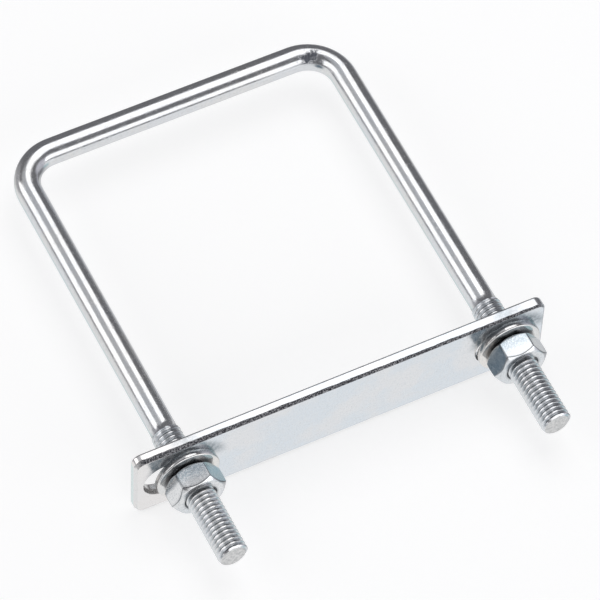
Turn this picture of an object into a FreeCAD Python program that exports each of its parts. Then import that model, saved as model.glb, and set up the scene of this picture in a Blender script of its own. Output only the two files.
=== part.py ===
import FreeCAD, Part
import math
import os

import Sketcher

# Square U-bolt with a slotted clamp plate, two flat washers and two hexagon nuts.
# Millimetres. The U lies in the XY plane. The origin is on the inner face of the clamp plate,
# midway between the legs; +Y points from the plate to the crown and +Z is up.

DIMS = {
    "leg_spacing": 89.0,
    "shank_radius": 3.5,
    "bend_radius": 10.0,
    "crown_y": 98.5,
    "tip_y": -30.0,
    "thread_length": 39.0,
    "thread_radius": 3.95,
    "thread_root": 3.15,
    "thread_pitch_radius": 3.5,
    "pitch": 1.25,
    "runout": 0.9,
    "tip_face_radius": 3.5,
    "plate_length": 113.0,
    "plate_width": 22.0,
    "plate_thickness": 3.0,
    "plate_corner": 2.5,
    "plate_shift": -1.7,
    "slot_spacing": 91.6,
    "slot_length": 16.0,
    "slot_width": 10.5,
    "washer_radius": 8.5,
    "washer_bore": 4.2,
    "washer_thickness": 1.7,
    "washer_edge": 0.35,
    "nut_across_flats": 13.0,
    "nut_height": 6.8,
    "nut_minor": 3.4,
    "nut_major": 4.1,
    "nut_pitch_radius": 3.68,
    "nut_sink_radius": 4.4,
    "nut_seat_radius": 5.5,
    "nut_face_radius": 6.2,
    "nut_chamfer_slope": 0.85,
    "left_nut_turn": 7.4,
    "right_nut_turn": 5.1,
}
# slope of a 60 degree thread flank, and the sine of 60 degrees
FLANK = repr(math.tan(math.radians(30)))
SINE = repr(math.sin(math.radians(60)))

doc = FreeCAD.newDocument("u_bolt_assembly")
sheet = doc.addObject("Spreadsheet::Sheet", "dims")
for row, (alias, value) in enumerate(DIMS.items(), start=1):
    sheet.set("A%d" % row, alias)
    sheet.set("B%d" % row, str(value))
    sheet.setAlias("B%d" % row, alias)
doc.recompute()


def bind(owner, prop, expression):
    """Drive a property from spreadsheet cells, which the expression names between braces."""
    owner.setExpression(prop, expression.replace("{", "dims.").replace("}", ""))


def new_body(label):
    body = doc.addObject("PartDesign::Body", label)
    body.Label = label
    return body


def new_sketch(body, name, plane, offset=None):
    """A sketch on one of the body's own origin planes, moved by expressions for x, y and z."""
    sketch = body.newObject("Sketcher::SketchObject", name)
    face = next(f for f in body.Origin.OriginFeatures if f.Role == plane)
    sketch.AttachmentSupport = [(face, "")]
    sketch.MapMode = "FlatFace"
    for axis, expression in (offset or {}).items():
        bind(sketch, "AttachmentOffset.Base." + axis, expression)
    return sketch


def drive(sketch, kind, *where, by, start):
    """Add a dimensional constraint with a first value and drive it by an expression."""
    index = sketch.addConstraint(Sketcher.Constraint(kind, *where, start))
    bind(sketch, "Constraints[%d]" % index, by)


def value_of(expression):
    """The number an expression gives for the first dimensions."""
    text = expression.replace("{", "dims.").replace("}", "")
    return float(sheet.evalExpression(text))


def polygon(sketch, corners):
    """A closed polygon whose corners are pairs of expressions."""
    spots = [FreeCAD.Vector(value_of(x), value_of(y), 0) for x, y in corners]
    count = len(spots)
    for i in range(count):
        sketch.addGeometry(Part.LineSegment(spots[i], spots[(i + 1) % count]))
    for i in range(count):
        sketch.addConstraint(Sketcher.Constraint("Coincident", i, 2, (i + 1) % count, 1))
    for i, (x, y) in enumerate(corners):
        drive(sketch, "DistanceX", -1, 1, i, 1, by=x, start=spots[i].x)
        drive(sketch, "DistanceY", -1, 1, i, 1, by=y, start=spots[i].y)


def revolve(body, kind, name, sketch):
    """A full turn of a sketch about its own vertical axis."""
    turn = body.newObject("PartDesign::" + kind, name)
    turn.Profile = sketch
    turn.ReferenceAxis = (sketch, ["V_Axis"])
    turn.Angle = 360
    return turn


def thread_cut(body, name, sketch, height):
    """A right-hand groove along the sketch's vertical axis."""
    cut = body.newObject("PartDesign::SubtractiveHelix", name)
    cut.Profile = sketch
    cut.ReferenceAxis = (sketch, ["V_Axis"])
    cut.Mode = 0
    bind(cut, "Pitch", "{pitch}")
    bind(cut, "Height", height)
    cut.LeftHanded = False
    return cut


def edges_where(feature, test):
    """Names of the edges of a feature that pass a test."""
    shape = feature.Shape
    return ["Edge%d" % (i + 1) for i, edge in enumerate(shape.Edges) if test(edge)]


def round_edges(body, name, base, edges, radius):
    fillet = body.newObject("PartDesign::Fillet", name)
    fillet.Base = (base, edges)
    bind(fillet, "Radius", radius)
    return fillet


# ---- rod: two threaded legs joined by a straight crown with two bends
u_bolt = new_body("u_bolt")
LEG = "{leg_spacing} / 2"
THREAD_END = "{tip_y} + {thread_length}"

path = new_sketch(u_bolt, "rod_path", "XY_Plane")
half = value_of(LEG)
low = value_of(THREAD_END + " - 3")
top = value_of("{crown_y}")
bend = value_of("{bend_radius}")
UP = FreeCAD.Vector(0, 0, 1)
path.addGeometry(
    [
        Part.LineSegment(
            FreeCAD.Vector(-half, low, 0), FreeCAD.Vector(-half, top - bend, 0)
        ),
        Part.ArcOfCircle(
            Part.Circle(FreeCAD.Vector(bend - half, top - bend, 0), UP, bend),
            math.pi / 2,
            math.pi,
        ),
        Part.LineSegment(
            FreeCAD.Vector(bend - half, top, 0), FreeCAD.Vector(half - bend, top, 0)
        ),
        Part.ArcOfCircle(
            Part.Circle(FreeCAD.Vector(half - bend, top - bend, 0), UP, bend),
            0,
            math.pi / 2,
        ),
        Part.LineSegment(
            FreeCAD.Vector(half, top - bend, 0), FreeCAD.Vector(half, low, 0)
        ),
    ],
    False,
)
path.addConstraint(
    [
        Sketcher.Constraint("Tangent", 0, 2, 1, 2),
        Sketcher.Constraint("Tangent", 1, 1, 2, 1),
        Sketcher.Constraint("Tangent", 2, 2, 3, 2),
        Sketcher.Constraint("Tangent", 3, 1, 4, 1),
        Sketcher.Constraint("Vertical", 0),
        Sketcher.Constraint("Horizontal", 2),
        Sketcher.Constraint("Vertical", 4),
        Sketcher.Constraint("Equal", 1, 3),
    ]
)
drive(path, "Radius", 1, by="{bend_radius}", start=bend)
drive(path, "DistanceX", -1, 1, 0, 1, by="-" + LEG, start=-half)
drive(path, "DistanceY", -1, 1, 0, 1, by=THREAD_END + " - 3", start=low)
drive(path, "DistanceX", -1, 1, 4, 2, by=LEG, start=half)
drive(path, "DistanceY", -1, 1, 4, 2, by=THREAD_END + " - 3", start=low)
drive(path, "DistanceY", -1, 1, 2, 1, by="{crown_y}", start=top)

section = new_sketch(
    u_bolt, "rod_section", "XZ_Plane", {"x": "-" + LEG, "z": "3 - {tip_y} - {thread_length}"}
)
section.addGeometry(Part.Circle(FreeCAD.Vector(0, 0, 0), UP, 3.5))
section.addConstraint(Sketcher.Constraint("Coincident", 0, 3, -1, 1))
drive(section, "Radius", 0, by="{shank_radius}", start=3.5)
doc.recompute()
rod = u_bolt.newObject("PartDesign::AdditivePipe", "bent_rod")
rod.Profile = section
rod.Spine = (path, ["Edge%d" % (i + 1) for i in range(5)])

GROOVE_ROOT = "({pitch} / 4 - ({thread_pitch_radius} - {thread_root}) * %s)" % FLANK
GROOVE_RIM = "({pitch} / 4 + ({thread_radius} + 0.06 - {thread_pitch_radius}) * %s)" % FLANK
START = "({tip_y} - {pitch})"
for side, sign in (("left", "-"), ("right", "")):
    place = {"x": sign + LEG}
    stud = new_sketch(u_bolt, side + "_stud_profile", "XY_Plane", place)
    polygon(
        stud,
        [
            ("0", "{tip_y}"),
            ("{tip_face_radius}", "{tip_y}"),
            ("{thread_radius}", "{tip_y} + {thread_radius} - {tip_face_radius}"),
            ("{thread_radius}", THREAD_END + " - {runout}"),
            ("{shank_radius}", THREAD_END),
            ("0", THREAD_END),
        ],
    )
    doc.recompute()
    revolve(u_bolt, "Revolution", side + "_stud", stud)
    doc.recompute()
    groove = new_sketch(u_bolt, side + "_groove_profile", "XY_Plane", place)
    polygon(
        groove,
        [
            ("{thread_root}", START + " - " + GROOVE_ROOT),
            ("{thread_radius} + 0.06", START + " - " + GROOVE_RIM),
            ("{thread_radius} + 0.06", START + " + " + GROOVE_RIM),
            ("{thread_root}", START + " + " + GROOVE_ROOT),
        ],
    )
    doc.recompute()
    thread_cut(u_bolt, side + "_thread", groove, "{thread_length} + {pitch} - {runout}")
    doc.recompute()

# ---- clamp plate: flat strip with rounded corners and one slot for each leg
clamp_plate = new_body("clamp_plate")
outline = new_sketch(clamp_plate, "strip_outline", "XZ_Plane", {"x": "{plate_shift}"})
polygon(
    outline,
    [
        ("-{plate_length} / 2", "-{plate_width} / 2"),
        ("{plate_length} / 2", "-{plate_width} / 2"),
        ("{plate_length} / 2", "{plate_width} / 2"),
        ("-{plate_length} / 2", "{plate_width} / 2"),
    ],
)
doc.recompute()
strip = clamp_plate.newObject("PartDesign::Pad", "strip")
strip.Profile = outline
bind(strip, "Length", "{plate_thickness}")
doc.recompute()
corners = edges_where(
    strip, lambda edge: abs(edge.tangentAt(edge.FirstParameter).y) > 0.99
)
rounded = round_edges(clamp_plate, "rounded_corners", strip, corners, "{plate_corner}")

slots = new_sketch(clamp_plate, "slot_outlines", "XZ_Plane", {"x": "{plate_shift}"})
slot_r = value_of("{slot_width} / 2")
for k, sign in enumerate(("-", "")):
    near = sign + "{slot_spacing} / 2 - {slot_length} / 2 + {slot_width} / 2"
    far = sign + "{slot_spacing} / 2 + {slot_length} / 2 - {slot_width} / 2"
    a = FreeCAD.Vector(value_of(near), 0, 0)
    b = FreeCAD.Vector(value_of(far), 0, 0)
    rise = FreeCAD.Vector(0, slot_r, 0)
    first = 4 * k
    slots.addGeometry(
        [
            Part.ArcOfCircle(Part.Circle(a, UP, slot_r), math.pi / 2, 1.5 * math.pi),
            Part.LineSegment(a - rise, b - rise),
            Part.ArcOfCircle(Part.Circle(b, UP, slot_r), -math.pi / 2, math.pi / 2),
            Part.LineSegment(b + rise, a + rise),
        ],
        False,
    )
    slots.addConstraint(
        [
            Sketcher.Constraint("Tangent", first, 2, first + 1, 1),
            Sketcher.Constraint("Tangent", first + 1, 2, first + 2, 1),
            Sketcher.Constraint("Tangent", first + 2, 2, first + 3, 1),
            Sketcher.Constraint("Tangent", first + 3, 2, first, 1),
            Sketcher.Constraint("PointOnObject", first, 3, -1),
            Sketcher.Constraint("PointOnObject", first + 2, 3, -1),
        ]
    )
    drive(slots, "Radius", first, by="{slot_width} / 2", start=slot_r)
    drive(slots, "DistanceX", -1, 1, first, 3, by=near, start=a.x)
    drive(slots, "DistanceX", -1, 1, first + 2, 3, by=far, start=b.x)
doc.recompute()
punched = clamp_plate.newObject("PartDesign::Pocket", "punched_slots")
punched.Profile = slots
punched.Type = 1
punched.Midplane = True
doc.recompute()

# ---- washers and nuts: drawn upright on their own Z axis, then laid along -Y on each leg
TURN_TO_LEG = FreeCAD.Rotation(FreeCAD.Vector(1, 0, 0), 90)
FACE_OUT = "({plate_thickness} + {washer_thickness})"


def washer(side, sign):
    body = new_body(side + "_washer")
    ring = new_sketch(body, side + "_washer_profile", "XZ_Plane")
    polygon(
        ring,
        [
            ("{washer_bore}", "0"),
            ("{washer_radius}", "0"),
            ("{washer_radius}", "{washer_thickness}"),
            ("{washer_bore}", "{washer_thickness}"),
        ],
    )
    doc.recompute()
    disc = revolve(body, "Revolution", side + "_washer_ring", ring)
    doc.recompute()
    rim = edges_where(
        disc,
        lambda edge: edge.BoundBox.XLength > 2 * DIMS["washer_radius"] - 0.1
        and edge.BoundBox.ZMin > 0.1
        and edge.BoundBox.ZLength < 0.1,
    )
    round_edges(body, side + "_washer_edge", disc, rim, "{washer_edge}")
    body.Placement = FreeCAD.Placement(FreeCAD.Vector(0, 0, 0), TURN_TO_LEG)
    bind(body, "Placement.Base.x", sign + LEG)
    bind(body, "Placement.Base.y", "-{plate_thickness}")
    return body


def nut(side, sign):
    body = new_body(side + "_nut")
    hexagon = new_sketch(body, side + "_hexagon", "XY_Plane")
    across = "{nut_across_flats} / (2 * %s)" % SINE
    flat = "{nut_across_flats} / 2"
    polygon(
        hexagon,
        [
            (across, "0"),
            (across + " / 2", flat),
            ("-" + across + " / 2", flat),
            ("-" + across, "0"),
            ("-" + across + " / 2", "-" + flat),
            (across + " / 2", "-" + flat),
        ],
    )
    doc.recompute()
    prism = body.newObject("PartDesign::Pad", side + "_prism")
    prism.Profile = hexagon
    bind(prism, "Length", "{nut_height}")
    doc.recompute()

    # bore with a countersink at both faces
    bore = new_sketch(body, side + "_bore_profile", "XZ_Plane")
    sink = "({nut_sink_radius} - {nut_minor})"
    polygon(
        bore,
        [
            ("0", "-1"),
            ("{nut_sink_radius} + 1", "-1"),
            ("{nut_minor}", sink),
            ("{nut_minor}", "{nut_height} - " + sink),
            ("{nut_sink_radius} + 1", "{nut_height} + 1"),
            ("0", "{nut_height} + 1"),
        ],
    )
    doc.recompute()
    revolve(body, "Groove", side + "_bore", bore)
    doc.recompute()

    # cone over the hexagon corners at both faces; the face on the washer has the smaller circle
    for end, face, away, back, circle in (
        ("inner", "0", "-", "+", "{nut_seat_radius}"),
        ("outer", "{nut_height}", "+", "-", "{nut_face_radius}"),
    ):
        start = face + " %s 0.5 * {nut_chamfer_slope}" % away
        chamfer = new_sketch(body, "%s_%s_chamfer_profile" % (side, end), "XZ_Plane")
        polygon(
            chamfer,
            [
                (circle + " - 0.5", start),
                (circle + " + 3", start),
                (circle + " + 3", face + " %s 3 * {nut_chamfer_slope}" % back),
            ],
        )
        doc.recompute()
        revolve(body, "Groove", "%s_%s_chamfer" % (side, end), chamfer)
        doc.recompute()

    # internal thread, in step with the thread of the stud at rest
    lead = "(-{tip_y} + 1.5 * {pitch} + {pitch} * {%s_nut_turn} / 360 - %s)" % (side, FACE_OUT)
    start = "(%s - {pitch} * (ceil(%s / {pitch}) + 1))" % (lead, lead)
    crest = "({pitch} / 4 + ({nut_pitch_radius} - {nut_minor} + 0.06) * %s)" % FLANK
    root = "({pitch} / 4 - ({nut_major} - {nut_pitch_radius}) * %s)" % FLANK
    groove = new_sketch(body, side + "_nut_groove_profile", "XZ_Plane")
    polygon(
        groove,
        [
            ("{nut_minor} - 0.06", start + " - " + crest),
            ("{nut_major}", start + " - " + root),
            ("{nut_major}", start + " + " + root),
            ("{nut_minor} - 0.06", start + " + " + crest),
        ],
    )
    doc.recompute()
    thread_cut(body, side + "_nut_thread", groove, "{nut_height} + 3 * {pitch}")
    turn = FreeCAD.Rotation(FreeCAD.Vector(0, 0, 1), DIMS[side + "_nut_turn"])
    body.Placement = FreeCAD.Placement(FreeCAD.Vector(0, 0, 0), TURN_TO_LEG.multiply(turn))
    bind(body, "Placement.Base.x", sign + LEG)
    bind(body, "Placement.Base.y", "-" + FACE_OUT)
    doc.recompute()
    return body


pieces = [u_bolt, clamp_plate]
for side, sign in (("left", "-"), ("right", "")):
    pieces.append(washer(side, sign))
    pieces.append(nut(side, sign))
doc.recompute()

for item in doc.Objects:
    if "Invalid" in item.State or "Error" in item.State:
        raise RuntimeError("%s did not recompute: %s" % (item.Label, item.State))
os.makedirs("parts", exist_ok=True)
for piece in pieces:
    shape = piece.Shape
    if shape.isNull() or not shape.isValid() or len(shape.Solids) != 1:
        raise RuntimeError("%s is not one valid solid" % piece.Label)
    print("%-12s %9.2f mm3" % (piece.Label, shape.Volume), shape.BoundBox)
    shape.exportStep("parts/%s.step" % piece.Label)
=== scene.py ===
import math

import bmesh
import bpy
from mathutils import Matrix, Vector, noise
from mathutils.geometry import delaunay_2d_cdt


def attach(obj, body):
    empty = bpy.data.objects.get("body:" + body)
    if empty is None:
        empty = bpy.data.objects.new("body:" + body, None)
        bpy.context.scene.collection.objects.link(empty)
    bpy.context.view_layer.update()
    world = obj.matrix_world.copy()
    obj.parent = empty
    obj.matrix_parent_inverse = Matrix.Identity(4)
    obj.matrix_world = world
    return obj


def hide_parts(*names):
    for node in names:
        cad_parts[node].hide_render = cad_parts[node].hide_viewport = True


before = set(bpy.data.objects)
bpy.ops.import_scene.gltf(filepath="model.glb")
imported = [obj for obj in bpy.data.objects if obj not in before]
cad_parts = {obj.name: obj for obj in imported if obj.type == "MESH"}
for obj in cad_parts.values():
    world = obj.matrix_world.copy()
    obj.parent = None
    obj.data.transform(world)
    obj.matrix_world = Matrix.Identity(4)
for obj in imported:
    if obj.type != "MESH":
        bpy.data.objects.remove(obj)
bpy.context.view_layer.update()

MM = 0.001
TAU = 2 * math.pi

# ---- sizes in millimetres, the same as in the CAD part
LEG_X = 44.5
SHANK_R = 3.5
BEND_R = 10.0
CROWN_Y = 98.5
TIP_Y = -30.0
THREAD_END = 9.0
THREAD_R = 3.95
ROOT_R = 3.15
PITCH = 1.25
TIP_R = 3.5
PLATE_LENGTH, PLATE_WIDTH, PLATE_T = 113.0, 22.0, 3.0
PLATE_CORNER = 2.5
PLATE_SHIFT = -1.7
SLOT_SPACING, SLOT_LENGTH, SLOT_WIDTH = 91.6, 16.0, 10.5
WASHER_R, WASHER_BORE, WASHER_T = 8.5, 4.2, 1.7
NUT_FLATS, NUT_H = 13.0, 6.8
NUT_MINOR, NUT_MAJOR, NUT_SINK = 3.4, 4.1, 4.4
NUT_SEAT_R, NUT_FACE_R, NUT_SLOPE = 5.5, 6.2, 0.85
NUT_TURN = {"left": 7.4, "right": 5.1}

# ---- details that only the visual model has, in millimetres unless they say otherwise
FLANK_START, ROOT_START = 0.14, 0.505  # stud thread, measured along the leg from a crest
CREST_SPARE = 0.03  # the crest is planed off by this much
FADE_LOW, FADE_HIGH = 1.0, 0.1  # the grooves run out between these distances from the shank
SHOULDER = 0.6  # length of the cone between stud and shank
GROOVE_END, GROOVE_FLANK = 0.474, 0.404  # nut thread, measured from a crest of the stud
SCUFF = (38.0, 95.6, 2.9)  # middle of the rubbed patch inside the right bend
SCUFF_STRETCH = 1.8  # the patch is this much longer along the crown
RUN_SCALE = 0.05  # squeezes the drawing lines' pattern, so that they come out long
OUTLINE_STEP = 1.5  # longest side of a face along the plate's edges
TEAR_MEAN, TEAR_SLOPE = 0.56, 0.0038  # depth of the torn band, and its change per millimetre of X
NUT_CROWN = 0.07  # how far each flat of a nut bulges between its ends
SOFT_EDGE = 0.2  # half width of the curve that rounds a nut's edges


def clamp(x, low=0.0, high=1.0):
    return max(low, min(high, x))


def smooth(x, low, high):
    """0 below low, 1 above high, and a smooth rise between."""
    t = clamp((x - low) / (high - low))
    return t * t * (3 - 2 * t)


def wobble(point, scale, seed):
    """Smooth noise between -1 and 1 at a point in millimetres."""
    return noise.noise(Vector(point) * scale + Vector((seed, 2.3 * seed, 0.7 * seed)))


# ---- mesh helpers
class Build:
    """Collects points in millimetres, faces and values on points, and makes one mesh."""

    def __init__(self):
        self.points = []
        self.faces = []
        self.values = {}

    def row(self, points, **values):
        first = len(self.points)
        self.points.extend(points)
        for name, value in values.items():
            filled = self.values.setdefault(name, {})
            for i in range(len(points)):
                filled[first + i] = value[i] if isinstance(value, list) else value
        return list(range(first, first + len(points)))

    def strip(self, a, b, closed=True):
        """Quads between two rows of the same length."""
        n = len(a)
        for i in range(n if closed else n - 1):
            k = (i + 1) % n
            self.faces.append((a[i], a[k], b[k], b[i]))

    def fan(self, ring, centre):
        n = len(ring)
        for i in range(n):
            self.faces.append((ring[i], ring[(i + 1) % n], centre))

    def finish(self, name, sharp=35.0):
        mesh = bpy.data.meshes.new(name)
        mesh.from_pydata([Vector(p) * MM for p in self.points], [], self.faces)
        for value_name, filled in self.values.items():
            if isinstance(next(iter(filled.values())), tuple):
                layer = mesh.attributes.new(value_name, "FLOAT_VECTOR", "POINT")
                for i, value in filled.items():
                    layer.data[i].vector = value
            else:
                layer = mesh.attributes.new(value_name, "FLOAT", "POINT")
                for i, value in filled.items():
                    layer.data[i].value = value
        obj = bpy.data.objects.new(name, mesh)
        bpy.context.scene.collection.objects.link(obj)

        work = bmesh.new()
        work.from_mesh(mesh)
        bmesh.ops.remove_doubles(work, verts=work.verts, dist=1e-7)
        bmesh.ops.dissolve_degenerate(work, edges=work.edges, dist=1e-7)
        bmesh.ops.recalc_face_normals(work, faces=work.faces)
        work.to_mesh(mesh)
        work.free()
        mesh.shade_smooth()
        mesh.set_sharp_from_angle(angle=math.radians(sharp))
        return obj


# ---- rod
ROUND = 72


def from_crest(theta, y):
    """Distance along the leg from the nearest crest of the thread, theta from +X towards +Z."""
    turns = (TIP_Y - y) / PITCH - 1.5 - theta / TAU
    return abs(turns - round(turns)) * PITCH


def thread_share(theta, y):
    """1 on a crest, 0 in a root, with both slightly rounded as rolling leaves them."""
    shifts = (-0.07, -0.035, 0.0, 0.035, 0.07)
    flank = ROOT_START - FLANK_START
    shares = [clamp((ROOT_START - from_crest(theta, y + shift)) / flank) for shift in shifts]
    return sum(shares) / len(shifts)


def stud_envelope(y):
    """Radius over the crests, with the chamfered tip and the cone down to the shank."""
    past = y - THREAD_END + SHOULDER
    if past > 0:
        return THREAD_R + (SHANK_R - THREAD_R) * clamp(past / SHOULDER)
    return TIP_R + (THREAD_R - TIP_R) * clamp((y - TIP_Y) / (THREAD_R - TIP_R))


def stud_radius(theta, y):
    fade = smooth(y, THREAD_END - FADE_LOW, THREAD_END - FADE_HIGH)
    share = thread_share(theta, y)
    cut = ROOT_R + (THREAD_R + CREST_SPARE - ROOT_R) * (share + (1 - share) * fade)
    return min(stud_envelope(y), cut)


def column_angle(column, sign):
    """Direction of a column round a leg, mirrored on the left leg as the rod's own columns are."""
    angle = TAU * column / ROUND
    return angle if sign > 0 else (math.pi - angle) % TAU


def stud_rows(build, x, sign):
    """The threaded end of a leg, from the tip up to the shank, in rows that follow the thread."""
    # heights of the rows within one turn, closest together where a flank starts and ends
    steps = [0.0, 0.08, 0.13, 0.18, 0.26, 0.34, 0.42, 0.48, 0.54, PITCH / 2]
    steps = steps + [PITCH - s for s in reversed(steps[1:-1])]
    per_turn = len(steps)
    turns = int((THREAD_END - TIP_Y) / PITCH) + 4
    grid = []
    for j in range(turns * per_turn):
        low = TIP_Y - 0.5 * PITCH + (j // per_turn) * PITCH + steps[j % per_turn]
        row, drawn, deep = [], [], []
        for c in range(ROUND):
            theta = column_angle(c, sign)
            y = clamp(low - PITCH * theta / TAU, TIP_Y, THREAD_END)
            r = stud_radius(theta, y)
            cos, sin = math.cos(theta), math.sin(theta)
            row.append((x + r * cos, y, r * sin))
            drawn.append((SHANK_R * cos, SHANK_R * sin, y * RUN_SCALE))
            deep.append(clamp((stud_envelope(y) - r) / (THREAD_R - ROOT_R)))
        grid.append(build.row(row, drawn=drawn, deep=deep, worn=0.0, scuff=0.0))
    # theta runs backwards on the left leg, so the seam of the helix lies at a different column
    seam = ROUND - 1 if sign > 0 else ROUND // 2
    for j in range(len(grid) - 1):
        for c in range(ROUND):
            k = (c + 1) % ROUND
            shift = 0
            if c == seam:
                shift = -per_turn if sign > 0 else per_turn
            lo, hi = j + shift, j + 1 + shift
            if 0 <= lo and hi < len(grid):
                build.faces.append((grid[j][c], grid[j + 1][c], grid[hi][k], grid[lo][k]))


def end_ring(x, y, sign):
    """The outline of a leg at one height, over the stud's crests and roots."""
    ring = []
    for c in range(ROUND):
        theta = column_angle(c, sign)
        r = stud_radius(theta, y)
        ring.append((x + r * math.cos(theta), y, r * math.sin(theta)))
    return ring


def stud_tip(build, x, sign):
    """The sheared end of a leg: nearly flat, a little uneven."""
    outer = end_ring(x, TIP_Y, sign)
    plain = {"drawn": (0.0, 0.0, 0.0), "deep": 0.0, "scuff": 0.0}
    previous = build.row(outer, worn=1.0, **plain)
    for share in (0.97, 0.9, 0.78, 0.64, 0.48, 0.32, 0.16):
        ring = []
        for px, _, pz in outer:
            qx, qz = x + (px - x) * share, pz * share
            dent = 0.03 + 0.05 * wobble((qx, 0, qz), 0.55, 3.0 + sign)
            dent += 0.02 * wobble((qx, 0, qz), 1.9, 5.0 + sign)
            ring.append((qx, TIP_Y + clamp(dent, 0.0, 0.12) * smooth(1 - share, 0, 0.2), qz))
        ring = build.row(ring, worn=1.0, **plain)
        build.strip(previous, ring)
        previous = ring
    middle = build.row([(x, TIP_Y + 0.04, 0.0)], worn=1.0, **plain)
    build.fan(previous, middle[0])


LEG_STEPS, BEND_STEPS = 40, 32


def bend_stations(centre_x, start, run):
    """The stations round one bend, clockwise from the angle start, without the first."""
    stations = []
    for i in range(1, BEND_STEPS + 1):
        t = i / BEND_STEPS
        a = start - 0.5 * math.pi * t
        out = (math.cos(a), math.sin(a))
        centre = (centre_x + BEND_R * out[0], CROWN_Y - BEND_R + BEND_R * out[1])
        share = math.sin(math.pi * t) ** 0.7 if i < BEND_STEPS else 0.0
        stations.append((centre, out, run + BEND_R * 0.5 * math.pi * t, share))
    return stations


def rod_stations():
    """Centre, outward direction, length run and bend share along the plain part of the rod."""
    leg = CROWN_Y - BEND_R - THREAD_END
    bend = 0.5 * math.pi * BEND_R
    crown = 2 * (LEG_X - BEND_R)
    stations = []
    for i in range(LEG_STEPS + 1):
        done = leg * i / LEG_STEPS
        stations.append(((-LEG_X, THREAD_END + done), (-1.0, 0.0), done, 0.0))
    stations += bend_stations(BEND_R - LEG_X, math.pi, leg)
    for i in range(1, LEG_STEPS + 1):
        done = crown * i / LEG_STEPS
        centre = (BEND_R - LEG_X + done, CROWN_Y)
        stations.append((centre, (0.0, 1.0), leg + bend + done, 0.0))
    stations += bend_stations(LEG_X - BEND_R, 0.5 * math.pi, leg + bend + crown)
    for i in range(1, LEG_STEPS + 1):
        done = leg * i / LEG_STEPS
        centre = (LEG_X, CROWN_Y - BEND_R - done)
        stations.append((centre, (1.0, 0.0), leg + 2 * bend + crown + done, 0.0))
    return stations


THIN_OUTSIDE, THIN_INSIDE, UPSET = 0.035, 0.007, 0.012  # shares of the radius in a bend
UNEVEN = 0.012  # millimetres by which the drawn wire wanders


def make_rod():
    build = Build()
    previous = None
    stations = rod_stations()
    for number, ((cx, cy), (ox, oy), run, share) in enumerate(stations):
        ring, drawn, scuff = [], [], []
        from_end = clamp(min(number, len(stations) - 1 - number) / 3)
        for c in range(ROUND):
            a = TAU * c / ROUND
            cos, sin = math.cos(a), math.sin(a)
            # a bend draws the outside thin and upsets the inside a little
            thin = THIN_OUTSIDE if cos > 0 else THIN_INSIDE
            dx = SHANK_R * (1 - thin * share) * cos
            z = SHANK_R * (1 + UPSET * share) * sin
            smooth_point = (cx + ox * dx, cy + oy * dx, z)
            push = UNEVEN * wobble(smooth_point, 0.11, 11.0) * from_end
            dx, z = dx + push * cos, z + push * sin
            p = (cx + ox * dx, cy + oy * dx, z)
            ring.append(p)
            drawn.append((SHANK_R * cos, SHANK_R * sin, run * RUN_SCALE))
            sx, sy, sz = (p[k] - SCUFF[k] for k in range(3))
            scuff.append(smooth(-math.hypot(sx / SCUFF_STRETCH, sy, sz), -2.6, -0.6))
        ring = build.row(ring, drawn=drawn, deep=0.0, worn=0.0, scuff=scuff)
        if previous:
            build.strip(previous, ring)
        previous = ring
    for x, sign in ((-LEG_X, -1), (LEG_X, 1)):
        stud_rows(build, x, sign)
        stud_tip(build, x, sign)
    return build.finish("rod_with_threads", sharp=38)


# ---- plate
def rounded_outline(half_x, half_z, corner, per_corner=14):
    """A rounded rectangle, anticlockwise, with arcs at its corners."""
    points = []
    for k, (sx, sz) in enumerate(((1, 1), (-1, 1), (-1, -1), (1, -1))):
        cx, cz = sx * (half_x - corner), sz * (half_z - corner)
        for i in range(per_corner + 1):
            a = 0.5 * math.pi * (k + i / per_corner)
            points.append((cx + corner * math.cos(a), cz + corner * math.sin(a)))
    # evenly spaced points on the straight sides keep the faces short
    filled = []
    for i, p in enumerate(points):
        q = points[(i + 1) % len(points)]
        filled.append(p)
        parts = max(1, round(math.hypot(q[0] - p[0], q[1] - p[1]) / OUTLINE_STEP))
        for j in range(1, parts):
            t = j / parts
            filled.append((p[0] + (q[0] - p[0]) * t, p[1] + (q[1] - p[1]) * t))
    return filled


# each row of the sheared edge: distance inside the outline, height above the front, how torn it is
WALL = [
    (0.95, 0.0, 0.0),
    (0.62, 0.0, 0.0),
    (0.52, 0.03, 0.6),
    (0.44, 0.14, 1.0),
    (0.38, 0.36, 1.0),
    (0.31, 0.58, 1.0),
    (0.24, 0.80, 1.0),
    (0.17, 1.02, 1.0),
    (0.10, 1.24, 1.0),
    (0.04, 1.42, 0.9),
    (0.0, 1.54, 0.0),
    (0.0, 2.0, 0.0),
    (0.0, 2.50, 0.0),
    (0.05, 2.75, 0.0),
    (0.16, 2.91, 0.0),
    (0.34, 2.98, 0.0),
    (0.55, 3.0, 0.0),
    (0.85, 3.0, 0.0),
]
RIM_ROWS = range(5, 11)  # the rows whose height wanders along the edge
LAST_TORN_ROW = 10
SLOT_CORNER = SLOT_WIDTH / 2 - 0.001  # a hair under half, so that no two points fall together


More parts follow.
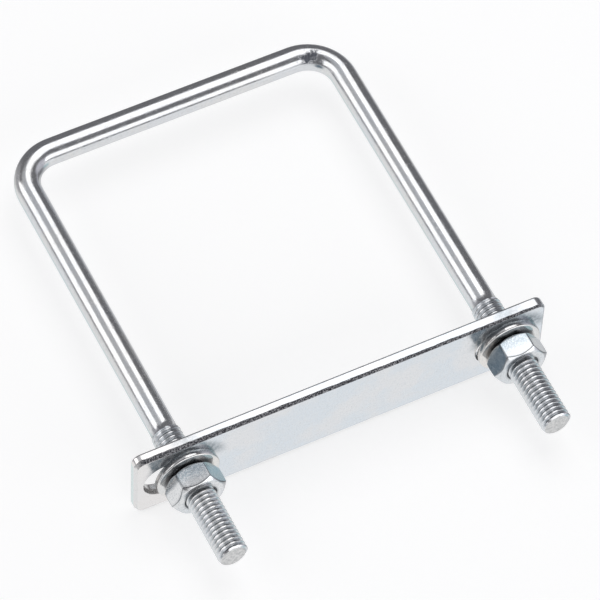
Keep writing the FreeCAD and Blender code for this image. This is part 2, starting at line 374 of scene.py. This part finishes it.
def make_plate():
    build = Build()
    loops = [("outer", 0.0, PLATE_LENGTH / 2, PLATE_WIDTH / 2, PLATE_CORNER, -1)]
    for side in (-1, 1):
        x = side * SLOT_SPACING / 2
        loops.append(("slot", x, SLOT_LENGTH / 2, SLOT_WIDTH / 2, SLOT_CORNER, 1))
    front, back = [], []
    for kind, shift, half_x, half_z, corner, sense in loops:
        previous = None
        outline = rounded_outline(half_x, half_z, corner)
        normals = outline_normals(outline)
        for index, (inset, height, torn) in enumerate(WALL):
            row, dark = [], []
            y = height - PLATE_T
            for (px, z), (nx, nz) in zip(outline, normals):
                # the strip's long edges are torn by slitting, its ends are cropped more cleanly
                dark.append(torn * (0.06 + 0.94 * nz * nz) if kind == "outer" else 0.3 * torn)
                x = px + shift + PLATE_SHIFT
                # the blade tore the metal deeper at one end of the strip than at the other
                tear = TEAR_MEAN - TEAR_SLOPE * x if torn or index == LAST_TORN_ROW else 1.0
                rough = 0.10 * wobble((x, y * 2, z), 1.1, 7.0)
                rough += 0.07 * wobble((x, y * 3, z), 3.1, 9.0)
                rim = 0.16 * wobble((x, 0, z), 0.9, 4.0) if index in RIM_ROWS else 0.0
                inward = (inset + torn * (0.10 + rough)) * sense
                level = clamp(height * tear + rim, 0.0, PLATE_T) - PLATE_T
                row.append((x + nx * inward, level, z + nz * inward))
            ids = build.row(row, torn=dark)
            if previous:
                build.strip(previous, ids)
            else:
                front.append(ids)
            previous = ids
        back.append(previous)
    fill_faces(build, front)
    fill_faces(build, back)
    return build.finish("slotted_plate", sharp=32)


def outline_normals(outline):
    """Outward unit normals of a closed outline that runs anticlockwise."""
    normals = []
    n = len(outline)
    for i in range(n):
        ax, az = outline[i - 1]
        bx, bz = outline[(i + 1) % n]
        dx, dz = bx - ax, bz - az
        size = math.hypot(dx, dz)
        normals.append((dz / size, -dx / size))
    return normals


def fill_faces(build, loops):
    """Flat face between an outer loop and two slot loops."""
    flat, edges, owners = [], [], []
    for loop in loops:
        first = len(flat)
        for k, i in enumerate(loop):
            x, _, z = build.points[i]
            flat.append(Vector((x, z)))
            owners.append(i)
            edges.append((first + k, first + (k + 1) % len(loop)))
    points, _, faces, origins, _, _ = delaunay_2d_cdt(flat, edges, [], 0, 1e-6)
    outer, *slots = [[build.points[i] for i in loop] for loop in loops]
    for face in faces:
        middle = sum((points[k] for k in face), Vector((0, 0))) / len(face)
        if inside(middle, outer) and not any(inside(middle, slot) for slot in slots):
            build.faces.append(tuple(owners[origins[k][0]] for k in face))


def inside(point, loop):
    """Whether a point lies inside a closed loop of (x, y, z) points seen along Y."""
    hit = False
    n = len(loop)
    for i in range(n):
        ax, _, az = loop[i]
        bx, _, bz = loop[(i + 1) % n]
        if (az > point.y) != (bz > point.y):
            if point.x < (bx - ax) * (point.y - az) / (bz - az) + ax:
                hit = not hit
    return hit


# ---- washers
def make_washer(side):
    x0 = LEG_X if side == "right" else -LEG_X
    build = Build()
    # radius and distance from the plate, round the section, with rings between 7.7 and 6.1
    # for the painted shade that fades away from the nut's seat
    profile = [
        (WASHER_BORE + 0.05, 0.0),
        (WASHER_R - 0.12, 0.0),
        (WASHER_R - 0.03, 0.04),
        (WASHER_R, 0.14),
        (WASHER_R, 0.7),
        (WASHER_R, WASHER_T - 0.35),
        (WASHER_R - 0.05, WASHER_T - 0.19),
        (WASHER_R - 0.15, WASHER_T - 0.07),
        (WASHER_R - 0.30, WASHER_T - 0.01),
        (WASHER_R - 0.45, WASHER_T),
        (7.7, WASHER_T),
        (7.3, WASHER_T),
        (6.9, WASHER_T),
        (6.5, WASHER_T),
        (6.1, WASHER_T),
        (5.2, WASHER_T),
        (WASHER_BORE + 0.3, WASHER_T),
        (WASHER_BORE + 0.12, WASHER_T - 0.06),
        (WASHER_BORE, WASHER_T - 0.22),
        (WASHER_BORE, 0.05),
    ]
    columns = 128
    rows = []
    for r, s in profile:
        ring = []
        for c in range(columns):
            cos, sin = math.cos(TAU * c / columns), math.sin(TAU * c / columns)
            ripple = 0.012 * wobble((r * cos, s, r * sin), 0.35, 21.0 + x0)
            ring.append((x0 + (r + ripple) * cos, -PLATE_T - s, (r + ripple) * sin))
        on_nut_side = s > WASHER_T / 2
        # painted shade on the nut side of the washer, darkest round the nut's seat
        rows.append(build.row(ring, seat=smooth(-r, -7.5, -6.2) if on_nut_side else 0.0))
    for i in range(len(rows)):
        build.strip(rows[i], rows[(i + 1) % len(rows)])
    return build.finish(side + "_flat_washer", sharp=40)


# ---- nuts
def hex_radius(angle, corner=0.45):
    """Distance from the axis to a hexagon with rounded corners, angle from a corner."""
    flat = NUT_FLATS / 2
    a = (angle + math.pi / 6) % (math.pi / 3) - math.pi / 6
    centre = (flat - corner) / math.cos(math.pi / 6)
    touch = math.atan2(centre * math.sin(math.pi / 6), flat)
    if abs(a) < math.pi / 6 - touch:
        return centre * math.cos(a) + math.sqrt(corner**2 - (centre * math.sin(a)) ** 2)
    return flat / math.cos(math.pi / 6 - abs(a))


def bend_points(before, corner, after, steps=4):
    """A small curve that rounds one corner of a profile."""
    points = []
    for i in range(steps + 1):
        t = i / steps
        points.append(
            tuple(
                (1 - t) ** 2 * p + 2 * t * (1 - t) * q + t * t * r
                for p, q, r in zip(before, corner, after)
            )
        )
    return points


def nut_profile(radius, corner):
    """Outline of the nut in one half plane, from the seat to the outer face, with its painted
    shade.
    """
    w = SOFT_EDGE
    lean = math.hypot(1, NUT_SLOPE)
    cos, sin = 1 / lean, NUT_SLOPE / lean
    edge_shade = 0.55 * corner  # painted shade along the edges between the flats
    points, painted_shade = [], []

    def add(more, values):
        points.extend(more)
        painted_shade.extend(values)

    # painted shade on the seat, where the nut meets the washer
    add([(NUT_SINK + 0.1, 0.0), (5.0, 0.0)], [0.6, 0.6])
    seat = (NUT_SEAT_R, 0.0)
    add(bend_points((NUT_SEAT_R - w, 0.0), seat, (NUT_SEAT_R + w * cos, w * sin), 2), [0.5] * 3)
    radius -= NUT_CROWN
    shoulder = (radius, (radius - NUT_SEAT_R) * NUT_SLOPE)
    for t in (0.3, 0.6):
        add([(NUT_SEAT_R + (radius - NUT_SEAT_R) * t, shoulder[1] * t)], [0.5])
    add(
        bend_points((radius - w * cos, shoulder[1] - w * sin), shoulder, (radius, shoulder[1] + w)),
        [0.5, 0.5, 0.45, 0.3, edge_shade],
    )
    front = (radius, NUT_H - (radius - NUT_FACE_R) * NUT_SLOPE)
    low, high = shoulder[1] + w, front[1] - w
    for t in (0.12, 0.3, 0.5, 0.7, 0.88):
        add([(radius + NUT_CROWN * 4 * t * (1 - t), low + (high - low) * t)], [edge_shade])
    add(
        bend_points((radius, front[1] - w), front, (radius - w * cos, front[1] + w * sin)),
        [max(edge_shade, 0.15), 0.6, 0.7, 0.3, 0.0],
    )
    face = (NUT_FACE_R, NUT_H)
    share = min(w, 0.45 * (radius - NUT_FACE_R))
    add(
        bend_points(
            (NUT_FACE_R + share * cos, NUT_H - share * sin), face, (NUT_FACE_R - share, NUT_H), 2
        ),
        [0.0, 0.1, 0.0],
    )
    add([(5.6, NUT_H), (5.0, NUT_H), (NUT_SINK + 0.1, NUT_H)], [0.0, 0.0, 0.3])
    return points, painted_shade


def nut_bore(theta, depth, seat_y):
    """Radius of the internal thread, in step with the stud, and of the two countersinks."""
    wide = clamp((GROOVE_END - from_crest(theta, seat_y - depth)) / GROOVE_FLANK)
    thread = NUT_MINOR + (NUT_MAJOR - NUT_MINOR) * wide
    return max(thread, NUT_SINK - depth, NUT_SINK - NUT_H + depth)


BORE_STEPS = 72


def make_nut(side):
    x0 = LEG_X if side == "right" else -LEG_X
    turn = math.radians(NUT_TURN[side])
    seat_y = -PLATE_T - WASHER_T
    build = Build()
    # degrees from a corner of the hexagon, closest together where the corner is rounded
    near_corner = (0, 0.6, 1.2, 1.8, 2.4, 3.2, 4.5, 7, 10.5, 15, 20, 25)
    to_next = near_corner + (30,) + tuple(60 - d for d in reversed(near_corner[1:]))
    columns, painted_shades = [], []
    for degrees in [60 * k + d for k in range(6) for d in to_next]:
        a = math.radians(degrees)
        world = a + turn
        cos, sin = math.cos(world), math.sin(world)
        # 0 at a corner, 1 in the middle of a flat
        local = abs((a + math.pi / 6) % (math.pi / 3) - math.pi / 6) / (math.pi / 6)
        # across, the flats are slightly hollow and not quite even
        swell = 0.05 * (local - 1) ** 2 - 0.012 * wobble((9 * cos, x0, 9 * sin), 0.2, 5.0)
        column, painted_shade = nut_profile(hex_radius(a) + swell, smooth(-local, -0.10, -0.02))
        # the bore's thread, from the outer face back to the seat
        for i in range(BORE_STEPS + 1):
            depth = NUT_H * (1 - i / BORE_STEPS)
            column.append((nut_bore(world, depth, seat_y), depth))
            # painted shade all down the bore
            painted_shade.append(0.85)
        columns.append([(x0 + r * cos, seat_y - d, r * sin) for r, d in column])
        painted_shades.append(painted_shade)
    rows = []
    for points, deep in zip(zip(*columns), zip(*painted_shades)):
        # painted shade on the rear half of the top flats, near the seat
        rear = [smooth(y, seat_y - 5.6, seat_y - 2.6) * smooth(z, 5.2, 6.0) for _, y, z in points]
        rows.append(build.row(points, deep=list(deep), rear=rear))
    for i in range(len(rows)):
        build.strip(rows[i], rows[(i + 1) % len(rows)])
    return build.finish(side + "_hex_nut", sharp=32)


# ---- materials
class Shader:
    """Short helper around one node tree."""

    def __init__(self, name):
        self.material = bpy.data.materials.new(name)
        self.material.use_nodes = True
        self.tree = self.material.node_tree
        self.shader = self.tree.nodes["Principled BSDF"]

    def feed(self, node, key, value):
        if isinstance(value, bpy.types.NodeSocket):
            self.tree.links.new(value, node.inputs[key])
        else:
            node.inputs[key].default_value = value

    def math(self, operation, a, b=0.0):
        made = self.tree.nodes.new("ShaderNodeMath")
        made.operation = operation
        self.feed(made, 0, a)
        self.feed(made, 1, b)
        return made.outputs[0]

    def noise(self, vector, scale, detail=3.0, roughness=0.5):
        made = self.tree.nodes.new("ShaderNodeTexNoise")
        self.feed(made, "Vector", vector)
        self.feed(made, "Scale", scale)
        self.feed(made, "Detail", detail)
        self.feed(made, "Roughness", roughness)
        return made.outputs["Fac"]

    def spread(self, value, low, high, to_low, to_high):
        made = self.tree.nodes.new("ShaderNodeMapRange")
        made.interpolation_type = "SMOOTHSTEP"
        for key, number in zip((0, 1, 2, 3, 4), (value, low, high, to_low, to_high)):
            self.feed(made, key, number)
        return made.outputs[0]

    def mix(self, share, a, b):
        made = self.tree.nodes.new("ShaderNodeMix")
        made.data_type = "RGBA"
        self.feed(made, 0, share)
        for slot, value in ((6, a), (7, b)):
            if isinstance(value, tuple):
                value = (*value, 1.0)
            self.feed(made, slot, value)
        return made.outputs[2]

    def bump(self, height, distance, normal=None):
        made = self.tree.nodes.new("ShaderNodeBump")
        made.inputs["Strength"].default_value = 1.0
        made.inputs["Distance"].default_value = distance
        self.feed(made, "Height", height)
        if normal is not None:
            self.feed(made, "Normal", normal)
        return made.outputs["Normal"]

    def value_on_points(self, name, output="Fac"):
        made = self.tree.nodes.new("ShaderNodeAttribute")
        made.attribute_name = name
        return made.outputs[output]

    def position(self):
        """Coordinates on the resting object in millimetres, which move with the piece."""
        metres = self.tree.nodes.new("ShaderNodeTexCoord").outputs["Object"]
        made = self.tree.nodes.new("ShaderNodeVectorMath")
        made.operation = "MULTIPLY"
        self.feed(made, 0, metres)
        made.inputs[1].default_value = (1 / MM, 1 / MM, 1 / MM)
        return made.outputs[0]


def zinc(name, base, cool, warm, gloss, orange_peel, mottle=0.4):
    """Bright zinc plating: slight cool and warm clouds, mottling, fine specks and dull patches."""
    s = Shader(name)
    at = s.position()
    dark = tuple(0.74 * c for c in cool)
    speck = tuple(0.62 * c for c in base)
    clouds = s.noise(at, 0.09, 3.0, 0.55)
    tint = s.mix(s.spread(clouds, 0.42, 0.62, 0.0, 1.0), cool, warm)
    fine = s.noise(at, 1.8, 4.0, 0.65)
    tint = s.mix(s.spread(fine, 0.35, 0.7, 0.0, 0.6), tint, base)
    grain = s.noise(at, 2.3, 3.0, 0.75)
    tint = s.mix(s.spread(grain, 0.50, 0.68, 0.0, mottle), tint, dark)
    specks = s.spread(s.noise(at, 7.0, 2.0, 0.6), 0.64, 0.74, 0.0, 1.0)
    tint = s.mix(s.math("MULTIPLY", specks, 0.35), tint, speck)
    rough = s.spread(s.noise(at, 0.7, 5.0, 0.65), 0.3, 0.75, gloss - 0.05, gloss + 0.09)
    rough = s.math("ADD", rough, s.math("MULTIPLY", specks, 0.12))
    normal = s.bump(s.noise(at, 1.9, 6.0, 0.68), orange_peel)
    return s, at, tint, rough, normal


def finish_zinc(s, tint, rough, normal):
    s.feed(s.shader, "Base Color", tint)
    s.feed(s.shader, "Roughness", rough)
    s.feed(s.shader, "Normal", normal)
    s.shader.inputs["Metallic"].default_value = 1.0
    return s.material


def rod_material():
    base = (0.80, 0.81, 0.83)
    s, at, tint, rough, normal = zinc(
        "zinc_rod", base, (0.80, 0.81, 0.83), (0.83, 0.82, 0.81), 0.18, 0.000005
    )
    # fine lines that the drawing die left along the wire
    drawn = s.value_on_points("drawn", "Vector")
    lines = s.noise(drawn, 2.6, 4.0, 0.7)
    normal = s.bump(lines, 0.000012, normal)
    tint = s.mix(s.spread(lines, 0.52, 0.75, 0.0, 0.35), tint, (0.62, 0.63, 0.66))
    rough = s.math("ADD", rough, s.spread(lines, 0.45, 0.75, 0.0, 0.06))
    # thread: bluer and duller than the shank, with painted shade deep in the grooves
    deep = s.value_on_points("deep")
    tint = s.mix(s.spread(deep, 0.0, 0.35, 0.0, 0.6), tint, (0.86, 0.89, 0.91))
    # painted shade: the deepest part of each groove is painted nearly black, as if in shadow
    groove_shade = s.math("ADD", deep, s.math("MULTIPLY", s.noise(at, 1.3, 3.0), 0.3))
    groove_shade = s.spread(groove_shade, 0.92, 1.18, 0.0, 1.0)
    tint = s.mix(groove_shade, tint, (0.09, 0.10, 0.11))
    rough = s.math("ADD", rough, s.spread(deep, 0.1, 0.8, 0.0, 0.14))
    # rubbed patch inside one bend
    scuff = s.value_on_points("scuff")
    rub = s.math("ADD", s.noise(at, 1.1, 5.0, 0.8), s.math("MULTIPLY", scuff, 0.30))
    rub = s.spread(rub, 0.66, 0.79, 0.0, 1.0)
    tint = s.mix(s.math("MULTIPLY", rub, 0.9), tint, (0.10, 0.11, 0.14))
    rough = s.math("ADD", rough, s.math("MULTIPLY", rub, 0.25))
    normal = s.bump(s.math("MULTIPLY", rub, s.noise(at, 3.5, 4.0)), 0.00012, normal)
    # sheared ends: paler, grainy and dull
    worn = s.value_on_points("worn")
    raw = s.noise(at, 1.1, 5.0, 0.7)
    tip = s.mix(s.spread(raw, 0.38, 0.66, 0.0, 1.0), (0.84, 0.83, 0.82), (0.58, 0.58, 0.58))
    tint = s.mix(worn, tint, tip)
    rough = s.math("ADD", rough, s.math("MULTIPLY", worn, 0.26))
    normal = s.bump(s.math("MULTIPLY", raw, worn), 0.00016, normal)
    return finish_zinc(s, tint, rough, normal)


def plate_material():
    base = (0.84, 0.86, 0.88)
    s, at, tint, rough, normal = zinc(
        "zinc_plate", base, (0.80, 0.85, 0.90), (0.87, 0.87, 0.88), 0.20, 0.000005
    )
    # the plating is warmer towards one end
    axes = s.tree.nodes.new("ShaderNodeSeparateXYZ")
    s.feed(axes, 0, at)
    tint = s.mix(s.spread(axes.outputs["X"], -50.0, -34.0, 0.8, 0.0), tint, (0.92, 0.885, 0.865))
    # painted shade darkens the plate above the washers, standing in for the washers and nuts that
    # it mirrors
    along = s.math("SUBTRACT", s.math("ABSOLUTE", axes.outputs["X"]), LEG_X)
    high = axes.outputs["Z"]
    squares = s.math("ADD", s.math("MULTIPLY", along, along), s.math("MULTIPLY", high, high))
    apart = s.math("SQRT", squares)
    near = s.spread(apart, 9.4, 12.6, 0.95, 0.0)
    shade_above_washers = s.math("MULTIPLY", near, s.spread(high, 1.0, 6.0, 0.0, 1.0))
    shade_above_washers = s.math("MULTIPLY", shade_above_washers, s.spread(s.noise(at, 1.1, 4.0, 0.7), 0.3, 0.6, 0.55, 1.0))
    tint = s.mix(shade_above_washers, tint, (0.26, 0.30, 0.33))
    # torn half of the sheared edges: coarse, dull and dark in its pits
    torn = s.value_on_points("torn")
    pits = s.noise(at, 2.8, 4.0, 0.8)
    rugged = s.mix(s.spread(pits, 0.45, 0.62, 0.0, 1.0), (0.06, 0.06, 0.07), (0.72, 0.72, 0.74))
    tint = s.mix(torn, tint, rugged)
    rough = s.math("ADD", rough, s.math("MULTIPLY", torn, 0.12))
    normal = s.bump(s.math("MULTIPLY", torn, pits), 0.0004, normal)
    return finish_zinc(s, tint, rough, normal)


def washer_material():
    s, at, tint, rough, normal = zinc(
        "zinc_washer", (0.84, 0.83, 0.81), (0.81, 0.81, 0.81), (0.90, 0.86, 0.82), 0.16, 0.000004
    )
    # painted shade round the seat of the nut, where the nut meets the washer
    seat = s.value_on_points("seat")
    ring = s.math("ADD", seat, s.math("MULTIPLY", s.noise(at, 0.6, 4.0), 0.5))
    tint = s.mix(s.spread(ring, 0.45, 1.30, 0.0, 0.6), tint, (0.16, 0.15, 0.15))
    return finish_zinc(s, tint, rough, normal)


def nut_material():
    s, at, tint, rough, normal = zinc(
        "zinc_nut", (0.82, 0.83, 0.84), (0.77, 0.80, 0.83), (0.86, 0.86, 0.86), 0.18, 0.000012, 0.75
    )
    # painted shade: the rear half of the top flats is painted darker and bluer, in specks
    shade_speckle = s.spread(s.noise(at, 2.2, 3.0, 0.7), 0.36, 0.60, 0.3, 1.0)
    rear = s.math("MULTIPLY", s.value_on_points("rear"), shade_speckle)
    tint = s.mix(rear, tint, (0.48, 0.55, 0.60))
    # painted shade in the bore, on the seat and in lines along the edges between the flats
    deep = s.value_on_points("deep")
    tint = s.mix(deep, tint, (0.10, 0.11, 0.12))
    return finish_zinc(s, tint, rough, normal)


# ---- pieces
rod = make_rod()
rod.data.materials.append(rod_material())
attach(rod, "rod")
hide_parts("u_bolt")

plate = make_plate()
plate.data.materials.append(plate_material())
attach(plate, "plate")
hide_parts("clamp_plate")

washer_finish = washer_material()
nut_finish = nut_material()
for side in ("left", "right"):
    washer = make_washer(side)
    washer.data.materials.append(washer_finish)
    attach(washer, "washer_" + side)
    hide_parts(side + "_washer")
    nut = make_nut(side)
    nut.data.materials.append(nut_finish)
    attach(nut, "nut_" + side)
    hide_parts(side + "_nut")

# ---- floor
floor_mesh = bpy.data.meshes.new("floor")
reach = 3.0  # metres
level = -PLATE_WIDTH / 2 * MM
corners = [(-reach, -reach), (reach, -reach), (reach, reach), (-reach, reach)]
floor_mesh.from_pydata([(x, y, level) for x, y in corners], [], [(0, 1, 2, 3)])
floor = bpy.data.objects.new("floor", floor_mesh)
bpy.context.scene.collection.objects.link(floor)
floor_paint = bpy.data.materials.new("pale_floor")
floor_paint.use_nodes = True
paint = floor_paint.node_tree.nodes["Principled BSDF"]
paint.inputs["Base Color"].default_value = (0.50, 0.50, 0.50, 1)
paint.inputs["Roughness"].default_value = 0.9
paint.inputs["Specular IOR Level"].default_value = 0.1
paint.inputs["Emission Color"].default_value = (1.0, 1.0, 1.0, 1)
paint.inputs["Emission Strength"].default_value = 0.695
floor.data.materials.append(floor_paint)
# the floor glows evenly like a bright sweep of paper, and the metal mirrors the room instead
floor.visible_glossy = False

# ---- camera: a long lens from above, in front and to the left, rolled a little
camera = bpy.data.objects.new("camera", bpy.data.cameras.new("camera"))
bpy.context.scene.collection.objects.link(camera)
camera.location = (-0.33889, -0.59161, 1.05585)
camera.rotation_euler = [math.radians(a) for a in (33.876, -1.6956, -26.287)]
camera.data.lens = 303.74
camera.data.sensor_width = 36.0
camera.data.clip_start = 0.05
bpy.context.scene.camera = camera


# ---- studio: three soft panels in a dim room
def panel(name, centre, facing, width, height, radiance):
    """A rectangular light of that brightness, in metres, facing along a direction."""
    light = bpy.data.lights.new(name, "AREA")
    light.shape = "RECTANGLE"
    light.size = width
    light.size_y = height
    light.energy = radiance * math.pi * width * height
    obj = bpy.data.objects.new(name, light)
    obj.location = centre
    obj.rotation_euler = Vector(facing).to_track_quat("-Z", "Y").to_euler()
    bpy.context.scene.collection.objects.link(obj)


panel("overhead_panel", (0.275, 0.31, 0.70), (0, 0, -1), 0.53, 0.74, 1.25)
panel("left_panel", (-0.60, 0.33, 0.42), (1, 0, 0), 0.85, 0.58, 1.22)
panel("front_panel", (0.265, -0.60, 0.279), (0, 1, 0), 0.97, 0.522, 1.22)

world = bpy.data.worlds.new("dim_room")
bpy.context.scene.world = world
world.use_nodes = True
tree = world.node_tree
links = tree.links
background = tree.nodes["Background"]
way = tree.nodes.new("ShaderNodeTexCoord").outputs["Generated"]


def room_node(kind, operation=None):
    made = tree.nodes.new(kind)
    if operation:
        made.operation = operation
    return made


def toward(direction, low, high):
    """How near a line of sight is to a direction: 0 below low, 1 above high."""
    dot = room_node("ShaderNodeVectorMath", "DOT_PRODUCT")
    links.new(way, dot.inputs[0])
    dot.inputs[1].default_value = direction
    span = room_node("ShaderNodeMapRange")
    span.interpolation_type = "SMOOTHSTEP"
    links.new(dot.outputs["Value"], span.inputs[0])
    span.inputs[1].default_value = low
    span.inputs[2].default_value = high
    return span.outputs[0]


def blend(share, a, b):
    made = room_node("ShaderNodeMix")
    made.data_type = "RGBA"
    links.new(share, made.inputs[0])
    for slot, value in ((6, a), (7, b)):
        if isinstance(value, tuple):
            made.inputs[slot].default_value = (*value, 1.0)
        else:
            links.new(value, made.inputs[slot])
    return made.outputs[2]


def both(a, b):
    made = room_node("ShaderNodeMath", "MULTIPLY")
    links.new(a, made.inputs[0])
    links.new(b, made.inputs[1])
    return made.outputs[0]


# patches that the metal mirrors: direction, how near to it each fades in and is full, colour
PATCHES = [
    ((-0.58, 0.80, -0.02), 0.90, 0.98, (0.36, 0.36, 0.38)),
    ((-0.27, 0.49, -0.83), 0.965, 0.992, (0.72, 0.82, 0.83)),
    ((-0.83, -0.47, -0.31), 0.945, 0.985, (0.12, 0.165, 0.20)),
    ((0.63, -0.76, -0.21), 0.88, 0.97, (0.92, 0.94, 0.96)),
    ((0.60, 0.49, -0.63), 0.86, 0.97, (0.65, 0.66, 0.67)),
    ((0.73, -0.49, -0.48), 0.965, 0.993, (0.44, 0.58, 0.62)),
    ((0.94, -0.33, 0.12), 0.86, 0.97, (0.58, 0.58, 0.64)),
]
# a dim room with a pale table, seen low on the left and in front, a grey ceiling and the patches
below = toward((0, 0, -1), -0.05, 0.02)
near_table = toward((-0.6, -0.5, -0.62), -0.3, 0.45)
tone = blend(both(below, near_table), (0.16, 0.16, 0.17), (0.85, 0.86, 0.87))
ceiling = toward((-0.25, 0.49, 0.83), 0.90, 0.96)
tone = blend(ceiling, tone, (0.46, 0.47, 0.49))
for direction, low, high, colour in PATCHES:
    tone = blend(toward(Vector(direction).normalized(), low, high), tone, colour)
# the camera itself sees the same pale tone as the floor
camera_ray = tree.nodes.new("ShaderNodeLightPath").outputs["Is Camera Ray"]
links.new(blend(camera_ray, tone, (0.9, 0.9, 0.9)), background.inputs["Color"])
background.inputs["Strength"].default_value = 1.0

bpy.context.scene.view_settings.view_transform = "Standard"
